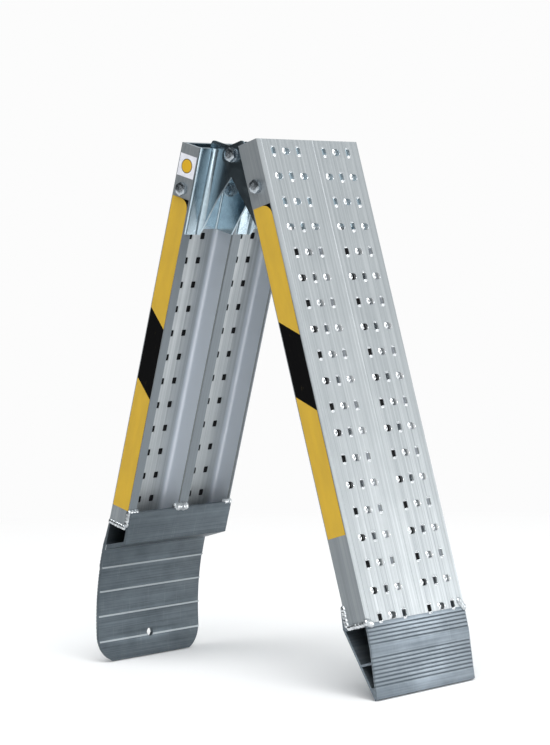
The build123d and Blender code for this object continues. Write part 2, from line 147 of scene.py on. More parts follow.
# ---- Colours and nodes ----
def linear(code: str) -> tuple[float, float, float, float]:
    """Turn an sRGB hex colour into linear RGBA.

    Args:
        code: six hex digits.

    Returns:
        The four linear channels.
    """
    channels = [int(code[i:i + 2], 16) / 255 for i in (0, 2, 4)]
    lit = [c / 12.92 if c <= 0.04045 else ((c + 0.055) / 1.055) ** 2.4 for c in channels]
    return (*lit, 1.0)


def add_node(tree: bpy.types.NodeTree, kind: str, settings: dict | None = None,
             inputs: dict | None = None) -> bpy.types.Node:
    """Add one node with its settings and links.

    Args:
        tree: the node tree.
        kind: the node's class name, without its ShaderNode prefix.
        settings: attributes of the node.
        inputs: values or sockets by input name or number.

    Returns:
        The new node.
    """
    node = tree.nodes.new("ShaderNode" + kind)
    for name, value in (settings or {}).items():
        setattr(node, name, value)
    for key, value in (inputs or {}).items():
        if isinstance(value, bpy.types.NodeSocket):
            tree.links.new(value, node.inputs[key])
        else:
            node.inputs[key].default_value = value
    return node


def math_node(tree: bpy.types.NodeTree, operation: str, *values: object) -> bpy.types.NodeSocket:
    """Result of a maths operation on numbers or sockets."""
    inputs = dict(enumerate(values))
    return add_node(tree, "Math", {"operation": operation}, inputs).outputs[0]


def ramp(tree: bpy.types.NodeTree, source: bpy.types.NodeSocket,
         stops: list[tuple[float, str]]) -> bpy.types.NodeSocket:
    """Colour ramp over a value.

    Args:
        tree: the node tree.
        source: the value from 0 to 1.
        stops: positions and hex colours.

    Returns:
        The colour socket.
    """
    node = add_node(tree, "ValToRGB", inputs={0: source})
    while len(node.color_ramp.elements) < len(stops):
        node.color_ramp.elements.new(0.5)
    for element, (position, code) in zip(node.color_ramp.elements, stops):
        element.position = position
        element.color = linear(code)
    return node.outputs[0]


def mix_colour(tree: bpy.types.NodeTree, factor: object, first: object,
               second: object) -> bpy.types.NodeSocket:
    """Mix two colours, each a socket or linear RGBA."""
    node = add_node(tree, "Mix", {"data_type": "RGBA"}, {0: factor, 6: first, 7: second})
    return node.outputs[2]


def span(tree: bpy.types.NodeTree, source: bpy.types.NodeSocket, from_low: float,
         from_high: float, to_low: float, to_high: float) -> bpy.types.NodeSocket:
    """Map a value from one span to another, clamped."""
    values = {0: source, 1: from_low, 2: from_high, 3: to_low, 4: to_high}
    return add_node(tree, "MapRange", {"clamp": True}, values).outputs[0]


@dataclass
class Flat:
    """Sockets for u, v and w in millimetres, worked out from Object coordinates."""

    tree: bpy.types.NodeTree
    half: Half
    u: bpy.types.NodeSocket = field(init=False)
    v: bpy.types.NodeSocket = field(init=False)
    w: bpy.types.NodeSocket = field(init=False)

    def __post_init__(self) -> None:
        """Build the three sockets."""
        place = add_node(self.tree, "TexCoord").outputs["Object"]
        half = self.half
        self.u = self.distance(place, half.down * METRE, half.origin)
        self.v = self.distance(place, Vector((0, METRE, 0)), half.origin)
        self.w = self.distance(place, half.outward * -METRE, half.origin)

    def distance(self, place: bpy.types.NodeSocket, direction: Vector,
                 origin: Vector) -> bpy.types.NodeSocket:
        """Distance of the shaded point from an origin along a direction.

        Args:
            place: the shaded point's coordinates.
            direction: the direction, scaled to the unit wanted.
            origin: the point to measure from.

        Returns:
            The distance.
        """
        dot = add_node(self.tree, "VectorMath", {"operation": "DOT_PRODUCT"},
                       {0: place, 1: tuple(direction)}).outputs["Value"]
        return math_node(self.tree, "SUBTRACT", dot, direction.dot(origin))

    def vector(self, du: float, dv: float, dw: float) -> bpy.types.NodeSocket:
        """Texture vector with one cell per du, dv and dw millimetres.

        Args:
            du: millimetres along the half for one cell.
            dv: millimetres across it for one cell.
            dw: millimetres in depth for one cell.

        Returns:
            The vector.
        """
        scaled = [math_node(self.tree, "DIVIDE", source, size)
                  for source, size in ((self.u, du), (self.v, dv), (self.w, dw))]
        return add_node(self.tree, "CombineXYZ", inputs=dict(enumerate(scaled))).outputs[0]

    def noise(self, du: float, dv: float, dw: float, detail: float = 3.0,
              rough: float = 0.55) -> bpy.types.NodeSocket:
        """Noise with features of about du by dv by dw millimetres.

        Args:
            du: millimetres along the half for one cell.
            dv: millimetres across it for one cell.
            dw: millimetres in depth for one cell.
            detail: how many finer layers it has.
            rough: how strong the finer layers are.

        Returns:
            The noise, from 0 to 1.
        """
        return add_node(self.tree, "TexNoise", inputs={
            "Vector": self.vector(du, dv, dw), "Scale": 1.0, "Detail": detail,
            "Roughness": rough}).outputs["Fac"]


# ---- Finishes ----
@dataclass(frozen=True)
class Finish:
    """A surface finish. Each kind builds one node material per half."""

    name: str
    metallic: float
    roughness: float
    gloss: float = 0.5

    def material(self, half: Half) -> bpy.types.Material:
        """The finish's material on one half, built once.

        Args:
            half: the half whose flat coordinates the pattern follows.

        Returns:
            The material.
        """
        full = f"{self.name}_{half.side.name.lower()}"
        found = bpy.data.materials.get(full)
        if found is not None:
            return found
        made = bpy.data.materials.new(full)
        made.use_nodes = True
        shader = made.node_tree.nodes["Principled BSDF"]
        shader.inputs["Metallic"].default_value = self.metallic
        shader.inputs["Roughness"].default_value = self.roughness
        shader.inputs["Specular IOR Level"].default_value = self.gloss
        self.paint(made.node_tree, shader, Flat(made.node_tree, half))
        return made

    def paint(self, tree: bpy.types.NodeTree, shader: bpy.types.Node, flat: Flat) -> None:
        """Add the finish's pattern to the shader.

        Args:
            tree: the material's node tree.
            shader: its Principled shader.
            flat: the half's flat coordinates.
        """
        raise NotImplementedError

    @staticmethod
    def bump(tree: bpy.types.NodeTree, shader: bpy.types.Node, height: bpy.types.NodeSocket,
             depth: float, strength: float = 1.0) -> None:
        """Drive the shader's normal from a height, depth in millimetres.

        Args:
            tree: the material's node tree.
            shader: its Principled shader.
            height: the height, from 0 to 1.
            depth: how far 0 is below 1, in millimetres.
            strength: how strongly it shows.
        """
        node = add_node(tree, "Bump", inputs={"Height": height, "Distance": depth * MM,
                                              "Strength": strength})
        tree.links.new(node.outputs[0], shader.inputs["Normal"])


@dataclass(frozen=True)
class MillAluminium(Finish):
    """Extruded aluminium left as it came from the die: soft streaks that run lengthwise.

    The far wall's inner face gets a painted light, a lighter colour that stands in for reflected light, and the
    rails and lips get a painted shade.
    """

    dark: str = "949A9D"
    light: str = "C6CACC"
    streak: float = 5.0
    fine: float = 0.9
    run: float = 900.0
    wall_light: str = "E2E8F0"
    wall_light_v: tuple[float, float] = (92.0, 101.0)
    wall_light_w: tuple[float, float] = (1.0, 31.0)
    side_shade: str = "747C82"
    middle: float = 105.0
    skin: float = 0.6
    lip_w: float = 33.8
    rail_shade: float = 0.5
    lip_shade: float = 0.9

    def paint(self, tree: bpy.types.NodeTree, shader: bpy.types.Node, flat: Flat) -> None:
        """Broad and fine die streaks, and a little handling dirt.

        Args:
            tree: the material's node tree.
            shader: its Principled shader.
            flat: the half's flat coordinates.
        """
        broad = flat.noise(self.run, self.streak, self.streak, 2.0)
        fine = flat.noise(self.run / 3, self.fine, self.fine, 2.0)
        dirt_and_shade = flat.noise(70, 45, 45, 4.0, 0.6)
        both = math_node(tree, "ADD", math_node(tree, "MULTIPLY", broad, 0.65),
                         math_node(tree, "MULTIPLY", fine, 0.35))
        colour = ramp(tree, both, [(0.3, self.dark), (0.7, self.light)])
        cloud = span(tree, dirt_and_shade, 0.35, 0.75, 0.0, 0.35)
        colour = mix_colour(tree, cloud, colour, linear(self.dark))
        # Painted light: the far wall's inner face is mixed towards a lighter colour that stands in for reflected
        # light.
        colour = mix_colour(tree, self.wall_light_share(tree, flat), colour, linear(self.wall_light))
        # Painted shade: the rails' outer faces and the lips are mixed towards a darker grey.
        colour = mix_colour(tree, self.sides(tree, flat), colour, linear(self.side_shade))
        tree.links.new(colour, shader.inputs["Base Color"])
        rough = span(tree, both, 0.3, 0.7, self.roughness + 0.08, self.roughness - 0.06)
        tree.links.new(rough, shader.inputs["Roughness"])
        self.bump(tree, shader, both, 0.12)

    def wall_light_share(self, tree: bpy.types.NodeTree, flat: Flat) -> bpy.types.NodeSocket:
        """How far a point is on the inner face of a plank's far wall, which gets a painted light.

        Args:
            tree: the material's node tree.
            flat: the half's flat coordinates.

        Returns:
            The share, from 0 to 1.
        """
        across = math_node(tree, "FLOORED_MODULO", flat.v, self.middle)
        wall = span(tree, across, *self.wall_light_v, 0.0, 1.0)
        below = math_node(tree, "GREATER_THAN", flat.w, self.wall_light_w[0])
        above = math_node(tree, "LESS_THAN", flat.w, self.wall_light_w[1])
        return math_node(tree, "MULTIPLY", wall, math_node(tree, "MULTIPLY", below, above))

    def sides(self, tree: bpy.types.NodeTree, flat: Flat) -> bpy.types.NodeSocket:
        """How far a point is on a rail's outer face or on a lip, where a painted shade goes.

        Args:
            tree: the material's node tree.
            flat: the half's flat coordinates.

        Returns:
            The share, from 0 to 1.
        """
        off_middle = math_node(tree, "SUBTRACT", flat.v, self.middle)
        outer = math_node(tree, "GREATER_THAN", math_node(tree, "ABSOLUTE", off_middle),
                          self.middle - self.skin)
        below = math_node(tree, "GREATER_THAN", flat.w, self.skin)
        rail = math_node(tree, "MULTIPLY", math_node(tree, "MULTIPLY", outer, below),
                         self.rail_shade)
        lip = math_node(tree, "MULTIPLY", math_node(tree, "GREATER_THAN", flat.w, self.lip_w),
                        self.lip_shade)
        return math_node(tree, "MAXIMUM", rail, lip)


@dataclass(frozen=True)
class CrossExtrusion(Finish):
    """Dull aluminium whose die lines and scuffs run across the ramp.

    Grip ribs are bright on their crests; the grooves between them get a painted shade, and the ribs between
    grooves a painted highlight.
    """

    dark: str = "5A6369"
    light: str = "8B949B"
    line: float = 1.3
    crest: str = "B9C0C4"
    crest_radius: float = 0.0
    crest_centre: tuple[float, float] = (0.0, 0.0)
    grooves: tuple[tuple[float, int], ...] = ()
    groove_pitch: float = 5.2
    groove_shade: str = "3C454C"
    shade_reach: tuple[float, float] = (0.08, 0.24)
    shade_amount: float = 0.5
    highlight_reach: tuple[float, float] = (0.3, 0.48)
    highlight_amount: float = 0.25
    top_w: float = 13.0

    def paint(self, tree: bpy.types.NodeTree, shader: bpy.types.Node, flat: Flat) -> None:
        """Fine cross lines, blotchy oxide, and scratches the other way.

        Args:
            tree: the material's node tree.
            shader: its Principled shader.
            flat: the half's flat coordinates.
        """
        lines = flat.noise(self.line, 260, self.line, 2.0)
        blotch = flat.noise(38, 60, 38, 4.0, 0.6)
        scratch = flat.noise(60, 0.7, 60, 1.0)
        base = math_node(tree, "ADD", math_node(tree, "MULTIPLY", lines, 0.6),
                         math_node(tree, "MULTIPLY", blotch, 0.4))
        colour = ramp(tree, base, [(0.32, self.dark), (0.7, self.light)])
        marks = span(tree, scratch, 0.68, 0.76, 0.0, 0.2)
        colour = mix_colour(tree, marks, colour, linear(self.crest))
        if self.crest_radius > 0:
            colour = mix_colour(tree, self.crests(tree, flat), colour, linear(self.crest))
        # Painted shade in the grip grooves and a painted highlight on the ribs between them.
        for start, count in self.grooves:
            dirt_and_shade, rib_highlight = self.groove_light(tree, flat, start, count)
            colour = mix_colour(tree, dirt_and_shade, colour, linear(self.groove_shade))
            colour = mix_colour(tree, rib_highlight, colour, linear(self.crest))
        tree.links.new(colour, shader.inputs["Base Color"])
        rough = span(tree, blotch, 0.3, 0.7, self.roughness + 0.1, self.roughness - 0.06)
        tree.links.new(rough, shader.inputs["Roughness"])
        self.bump(tree, shader, lines, 0.05)

    def groove_light(self, tree: bpy.types.NodeTree, flat: Flat, start: float,
                count: int) -> tuple[bpy.types.NodeSocket, bpy.types.NodeSocket]:
        """Painted shade in a set of grip grooves, and a painted highlight on the ribs between them.

        Args:
            tree: the node tree.
            flat: the half's flat coordinates.
            start: u of the first groove.
            count: number of grooves.

        Returns:
            How much painted shade and how much painted highlight a point gets, from 0 to 1.
        """
        steps = math_node(tree, "DIVIDE", math_node(tree, "SUBTRACT", flat.u, start),
                          self.groove_pitch)
        off = math_node(tree, "ABSOLUTE", math_node(tree, "WRAP", steps, 0.5, -0.5))
        inside = math_node(tree, "GREATER_THAN", steps, -0.5)
        inside = math_node(tree, "MULTIPLY", inside,
                           math_node(tree, "LESS_THAN", steps, count - 0.5))
        inside = math_node(tree, "MULTIPLY", inside,
                           math_node(tree, "LESS_THAN", flat.w, self.top_w))
        dirt_and_shade = span(tree, off, *self.shade_reach, self.shade_amount, 0.0)
        rib_highlight = span(tree, off, *self.highlight_reach, 0.0, self.highlight_amount)
        return (math_node(tree, "MULTIPLY", dirt_and_shade, inside),
                math_node(tree, "MULTIPLY", rib_highlight, inside))

    def crests(self, tree: bpy.types.NodeTree, flat: Flat) -> bpy.types.NodeSocket:
        """How far a point is on a worn rib crest, which is nearer to the curve's centre.

        Args:
            tree: the material's node tree.
            flat: the half's flat coordinates.

        Returns:
            The share, from 0 to 1.
        """
        centre_u, centre_w = self.crest_centre
        du = math_node(tree, "SUBTRACT", flat.u, centre_u)
        dw = math_node(tree, "SUBTRACT", flat.w, centre_w)
        square = math_node(tree, "ADD", math_node(tree, "MULTIPLY", du, du),
                           math_node(tree, "MULTIPLY", dw, dw))
        radius = math_node(tree, "SQRT", square)
        inner = span(tree, radius, self.crest_radius - 0.75, self.crest_radius - 0.25, 0.7, 0.0)
        near = math_node(tree, "GREATER_THAN", radius, self.crest_radius - 2.0)
        return math_node(tree, "MULTIPLY", inner, near)


@dataclass(frozen=True)
class GalvanisedSheet(Finish):
    """Pressed sheet steel with a zinc coat: large soft spangles and a cold blue sheen.

    The ears get a painted shade, darker from the depth where they leave the rails.
    """

    dark: str = "B0C2CD"
    light: str = "C4D6DF"
    ear_shade: str = "343F46"
    ear_shade_amount: float = 0.82
    ear_depths: tuple[float, float] = (34.0, 56.0)
    spangle: float = 14.0

    def paint(self, tree: bpy.types.NodeTree, shader: bpy.types.Node, flat: Flat) -> None:
        """Spangles as irregular cells, each a little lighter or darker.

        Args:
            tree: the material's node tree.
            shader: its Principled shader.
            flat: the half's flat coordinates.
        """
        warp = flat.noise(6, 6, 6, 2.0)
        cells = add_node(tree, "TexVoronoi", inputs={
            "Vector": flat.vector(self.spangle, self.spangle, self.spangle), "Scale": 1.0})
        value = add_node(tree, "SeparateColor", inputs={0: cells.outputs["Color"]}).outputs[0]
        both = math_node(tree, "ADD", math_node(tree, "MULTIPLY", value, 0.4),
                         math_node(tree, "MULTIPLY", warp, 0.6))
        colour = ramp(tree, both, [(0.15, self.dark), (0.85, self.light)])
        # Painted shade: below the rails the ears are mixed towards a dark grey-blue.
        ear_shade_share = span(tree, flat.w, *self.ear_depths, 0.0, self.ear_shade_amount)
        colour = mix_colour(tree, ear_shade_share, colour, linear(self.ear_shade))
        tree.links.new(colour, shader.inputs["Base Color"])
        rough = span(tree, both, 0.1, 0.9, self.roughness - 0.03, self.roughness + 0.04)
        tree.links.new(rough, shader.inputs["Roughness"])
        self.bump(tree, shader, warp, 0.02, 0.2)


@dataclass(frozen=True)
class ZincPlate(Finish):
    """Bright zinc plate on turned and forged steel, with a faint grain and dull spots."""

    dark: str = "8D98A1"
    light: str = "D5DCE2"
    grain: float = 1.2

    def paint(self, tree: bpy.types.NodeTree, shader: bpy.types.Node, flat: Flat) -> None:
        """Fine grain in the colour and the roughness.

        Args:
            tree: the material's node tree.
            shader: its Principled shader.
            flat: the half's flat coordinates.
        """
        grain = flat.noise(self.grain, self.grain, self.grain, 3.0)
        spots = flat.noise(5, 5, 5, 2.0)
        colour = ramp(tree, grain, [(0.3, self.dark), (0.65, self.light)])
        colour = mix_colour(tree, span(tree, spots, 0.5, 0.8, 0.0, 0.4), colour,
                            linear(self.dark))
        tree.links.new(colour, shader.inputs["Base Color"])
        rough = span(tree, spots, 0.3, 0.7, self.roughness - 0.05, self.roughness + 0.12)
        tree.links.new(rough, shader.inputs["Roughness"])
        self.bump(tree, shader, grain, 0.01, 0.4)


@dataclass(frozen=True)
class WeldMetal(Finish):
    """Aluminium weld bead: bright, with fine solidification ripples and sooty edges."""

    dark: str = "A0A5A9"
    light: str = "D6DADC"
    ripple: float = 1.6

    def paint(self, tree: bpy.types.NodeTree, shader: bpy.types.Node, flat: Flat) -> None:
        """Silver with darker soot in patches.

        Args:
            tree: the material's node tree.
            shader: its Principled shader.
            flat: the half's flat coordinates.
        """
        soot = flat.noise(9, 9, 9, 2.0)
        colour = ramp(tree, soot, [(0.35, self.dark), (0.6, self.light)])
        tree.links.new(colour, shader.inputs["Base Color"])
        fine = flat.noise(self.ripple, self.ripple, self.ripple, 2.0)
        rough = span(tree, soot, 0.3, 0.7, self.roughness + 0.12, self.roughness - 0.05)
        tree.links.new(rough, shader.inputs["Roughness"])
        self.bump(tree, shader, fine, 0.02, 0.3)


@dataclass(frozen=True)
class HazardFilm(Finish):
    """Printed vinyl film: yellow with one slanted black band and a small black corner."""

    yellow: str = "CDA83E"
    faded: str = "C29F3E"
    rubbed: str = "9A8A5C"
    black: str = "020203"
    start: float = 90.5
    band: tuple[float, float] = (274.3, 378.2)
    slant: float = 0.8355
    corner_w: float = 1.5
    corner_sign: float = 1.0
    corner: float = 15.0

    def paint(self, tree: bpy.types.NodeTree, shader: bpy.types.Node, flat: Flat) -> None:
        """The band, the corner, faint creases and rubbed spots.

        Args:
            tree: the material's node tree.
            shader: its Principled shader.
            flat: the half's flat coordinates.
        """
        leaning = math_node(tree, "ADD", flat.u, math_node(tree, "MULTIPLY", flat.w, self.slant))
        after = math_node(tree, "GREATER_THAN", leaning, self.band[0])
        before = math_node(tree, "LESS_THAN", leaning, self.band[1])
        band = math_node(tree, "MULTIPLY", after, before)
        mask = math_node(tree, "MAXIMUM", band, self.corner_mask(tree, flat))
        fade = flat.noise(60, 20, 14, 4.0, 0.6)
        yellow = ramp(tree, fade, [(0.3, self.faded), (0.7, self.yellow)])
        colour = mix_colour(tree, mask, yellow, linear(self.black))
        scuff = span(tree, flat.noise(14, 4, 1.2, 4.0, 0.7), 0.66, 0.74, 0.0, 0.3)
        colour = mix_colour(tree, scuff, colour, linear(self.rubbed))
        tree.links.new(colour, shader.inputs["Base Color"])
        rough = span(tree, fade, 0.3, 0.7, self.roughness - 0.05, self.roughness + 0.12)
        tree.links.new(rough, shader.inputs["Roughness"])
        self.bump(tree, shader, flat.noise(5, 5, 5, 2.0), 0.05)

    def corner_mask(self, tree: bpy.types.NodeTree, flat: Flat) -> bpy.types.NodeSocket:
        """Where the yellow's rounded corner leaves the black film bare.

        Args:
            tree: the material's node tree.
            flat: the half's flat coordinates.

        Returns:
            1 on bare black film, and 0 elsewhere.
        """
        along = math_node(tree, "SUBTRACT", self.start + self.corner, flat.u)
        across = math_node(tree, "SUBTRACT", flat.w, self.corner_w)
        across = math_node(tree, "MULTIPLY", across, self.corner_sign)
        across = math_node(tree, "SUBTRACT", self.corner, across)
        along = math_node(tree, "MAXIMUM", along, 0.0)
        across = math_node(tree, "MAXIMUM", across, 0.0)
        square = math_node(tree, "ADD", math_node(tree, "MULTIPLY", along, along),
                           math_node(tree, "MULTIPLY", across, across))
        return math_node(tree, "GREATER_THAN", square, self.corner ** 2)


@dataclass(frozen=True)
class PlainLabel(Finish):
    """White vinyl label with a plain amber disc in a dark ring."""

    white: str = "E6E7EE"
    grimy: str = "D6D7DE"
    amber: str = "D6A81E"
    ring: str = "4A4634"
    centre: tuple[float, float] = (30.0, 17.0)
    disc: float = 9.0
    border: float = 10.2

    def paint(self, tree: bpy.types.NodeTree, shader: bpy.types.Node, flat: Flat) -> None:
        """Disc and ring by distance from the label's centre.

        Args:
            tree: the material's node tree.
            shader: its Principled shader.
            flat: the half's flat coordinates.
        """
        du = math_node(tree, "SUBTRACT", flat.u, self.centre[0])
        dw = math_node(tree, "SUBTRACT", flat.w, self.centre[1])
        square = math_node(tree, "ADD", math_node(tree, "MULTIPLY", du, du),
                           math_node(tree, "MULTIPLY", dw, dw))
        radius = math_node(tree, "SQRT", square)
        inside = math_node(tree, "LESS_THAN", radius, self.disc)
        ringed = math_node(tree, "LESS_THAN", radius, self.border)
        grime = flat.noise(9, 9, 9, 4.0, 0.6)
        paper = ramp(tree, grime, [(0.3, self.grimy), (0.6, self.white)])
        colour = mix_colour(tree, ringed, paper, linear(self.ring))
        colour = mix_colour(tree, inside, colour, linear(self.amber))
        tree.links.new(colour, shader.inputs["Base Color"])
        self.bump(tree, shader, grime, 0.05)


@dataclass(frozen=True)
class NylonRing(Finish):
    """Moulded nylon in a locknut's collar."""

    colour: str = "2F4A66"
    paler: str = "3C5C7C"

    def paint(self, tree: bpy.types.NodeTree, shader: bpy.types.Node, flat: Flat) -> None:
        """Slightly mottled blue.

        Args:
            tree: the material's node tree.
            shader: its Principled shader.
            flat: the half's flat coordinates.
        """
        mottle = flat.noise(2, 2, 2, 2.0)
        colour = ramp(tree, mottle, [(0.3, self.colour), (0.7, self.paler)])
        tree.links.new(colour, shader.inputs["Base Color"])


@dataclass(frozen=True)
class HoleShade(Finish):
    """Near-black dull plates in the holes: painted shade that stands in for the dark seen through the open holes,
    with faint lighter patches.
    """

    black: str = "08080A"
    speckle: str = "1C1D1F"

    def paint(self, tree: bpy.types.NodeTree, shader: bpy.types.Node, flat: Flat) -> None:
        """Faint lighter patches.

        Args:
            tree: the material's node tree.
            shader: its Principled shader.
            flat: the half's flat coordinates.
        """
        patches = flat.noise(3, 3, 3, 3.0)
        colour = ramp(tree, patches, [(0.4, self.black), (0.75, self.speckle)])
        tree.links.new(colour, shader.inputs["Base Color"])
        self.bump(tree, shader, patches, 0.03)


# Mill aluminium, as extruded: pale and satin, with soft streaks along the planks.
DECK = MillAluminium("mill_aluminium_planks", 0.65, 0.48)
# Aluminium sheared and raised by the punch: clean bright edges that glint round the holes.
TEETH = MillAluminium("mill_aluminium_teeth", 0.9, 0.26, dark="D3D7DA", light="F3F5F6",
                      streak=2.0, fine=0.6, run=6.0)
# Extruded aluminium, oxidised by use: mid grey, with lines across, painted shade in the grooves and a painted
# highlight on the ribs between them.
# Its lines are drawn coarser than the real die lines, which are too fine to show.
WEDGE = CrossExtrusion("extruded_aluminium_wedge", 0.85, 0.45, dark="69727A", light="8A949C",
                       line=3.0, grooves=((671.2, 5), (711.0, 8)))
# The same, darker from handling, with rib crests worn bright on the tongue's upper face.
TONGUE = CrossExtrusion("extruded_aluminium_tongue", 0.85, 0.46, dark="4C545A", light="6F7980",
                        crest_radius=397.0, crest_centre=(600.0, 399.0))
# Galvanised sheet steel, pressed: cold blue-white and glossy, with painted shade on the ears.
SHEET = GalvanisedSheet("galvanised_sheet_brackets", 1.0, 0.2)
# Zinc plate on forged and turned steel: white glints on every corner and washer face.
PLATE = ZincPlate("zinc_plated_fasteners", 1.0, 0.2)
# Weld metal as it cooled: the brightest metal here, soft-edged and slightly sooty.
BEAD = WeldMetal("weld_metal_beads", 1.0, 0.26)
# Printed vinyl film: flat, even yellow and black with hardly any gloss.
FOOT_FILM = HazardFilm("printed_film_yellow_black", 0.0, 0.5, 0.08)
HOOK_FILM = HazardFilm("printed_film_yellow_black_turned", 0.0, 0.5, 0.08, start=75.0,
                       band=(235.3, 338.5), slant=-0.773, corner_w=32.5, corner_sign=-1.0)
# Printed vinyl label: a clean white square with a satin face.
LABEL = PlainLabel("printed_film_label", 0.0, 0.4)
# Moulded nylon: a thin blue ring in each locknut, soft and slightly mottled.
NYLON = NylonRing("moulded_nylon_ring", 0.0, 0.4)
# Painted shade: near-black dull plates that keep each filled hole dark from any side, standing in for the shade
# seen through the holes.
HOLE_SHADE = HoleShade("painted_hole_shade", 0.0, 0.85, 0.15)


# ---- Making pieces ----
def finish_piece(name: str, shape: bmesh.types.BMesh, half: Half, finish: Finish,
                 replaced: tuple[str, ...] = (), smooth_angle: float = 35.0) -> bpy.types.Object:
    """Turn a flat-coordinate bmesh into a finished piece on its half.

    Args:
        name: the piece's name.
        shape: the mesh in flat millimetres, which is freed.
        half: the half that it belongs to.
        finish: its finish.
        replaced: CAD nodes that it stands for.
        smooth_angle: edges sharper than this stay crisp, in degrees.

    Returns:
        The piece.
    """
    bmesh.ops.transform(shape, matrix=half.matrix(), verts=shape.verts[:])
    if half.turned:
        bmesh.ops.reverse_faces(shape, faces=shape.faces[:])
    return dress(name, shape, half, finish, replaced, smooth_angle)


def is_flat(face: bmesh.types.BMFace, wide: float) -> bool:
    """Whether a face is a flat wall, not a rounding's strip.

    Args:
        face: the face, in metres.
        wide: area above which a face is a wall whatever it meets, in square millimetres.

    Returns:
        True for a wall.
    """
    strip_width, coplanar, gentlest = 0.8 * MM, math.radians(0.4), math.radians(15)
    area = face.calc_area()
    longest = max(edge.calc_length() for edge in face.edges)
    if area < strip_width * longest:
        return False
    turns = [edge.calc_face_angle(0.0) for edge in face.edges if len(edge.link_faces) == 2]
    curved = any(coplanar < turn < gentlest for turn in turns)
    return area > wide * MM * MM or not curved


def dress(name: str, shape: bmesh.types.BMesh, half: Half, finish: Finish,
          replaced: tuple[str, ...] = (), smooth_angle: float = 35.0,
          wide: float = 0.0) -> bpy.types.Object:
    """Turn a world-coordinate bmesh into a finished piece.

    Args:
        name: the piece's name.
        shape: the mesh in world metres, which is freed.
        half: the half that it belongs to.
        finish: its finish.
        replaced: CAD nodes that it stands for.
        smooth_angle: edges sharper than this stay crisp, in degrees.
        wide: area above which a face is shaded flat, in square millimetres; zero shades
            all of them smooth.

    Returns:
        The piece.
    """
    for face in shape.faces:
        face.smooth = not (wide and is_flat(face, wide))
    for edge in shape.edges:
        if len(edge.link_faces) == 2:
            edge.smooth = edge.calc_face_angle(0.0) < math.radians(smooth_angle)
    mesh = bpy.data.meshes.new(name)
    shape.to_mesh(mesh)
    shape.free()
    piece = bpy.data.objects.new(name, mesh)
    bpy.context.scene.collection.objects.link(piece)
    mesh.materials.append(finish.material(half))
    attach(piece, half.body)
    if replaced:
        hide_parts(*replaced)
    log.info("%s: %d faces", name, len(mesh.polygons))
    return piece


def cover_node(node: str, half: Half, finish: Finish) -> None:
    """Give a carried CAD node its finish.

    Args:
        node: the CAD node.
        half: the half that it belongs to.
        finish: its finish.
    """
    mesh = frame["nodes"][node].data
    mesh.materials.clear()
    mesh.materials.append(finish.material(half))
    log.info("%s: finished with %s", node, finish.name)


def append_copy(target: bmesh.types.BMesh, template: bpy.types.Mesh, place: Matrix) -> None:
    """Add a placed copy of a template mesh to a bmesh.

    Args:
        target: the bmesh to add to.
        template: the mesh to copy.
        place: matrix to the copy's place.
    """
    before = len(target.verts)
    target.from_mesh(template)
    target.verts.ensure_lookup_table()
    bmesh.ops.transform(target, matrix=place, verts=target.verts[before:])


def join(target: bmesh.types.BMesh, part: bmesh.types.BMesh, place: Matrix) -> None:
    """Place a part, add it to a bmesh and free it.

    Args:
        target: the bmesh to add to.
        part: the bmesh to add, which is freed.
        place: matrix to the part's place.
    """
    bmesh.ops.transform(part, matrix=place, verts=part.verts[:])
    mesh = bpy.data.meshes.new("part")
    part.to_mesh(mesh)
    part.free()
    target.from_mesh(mesh)
    bpy.data.meshes.remove(mesh)


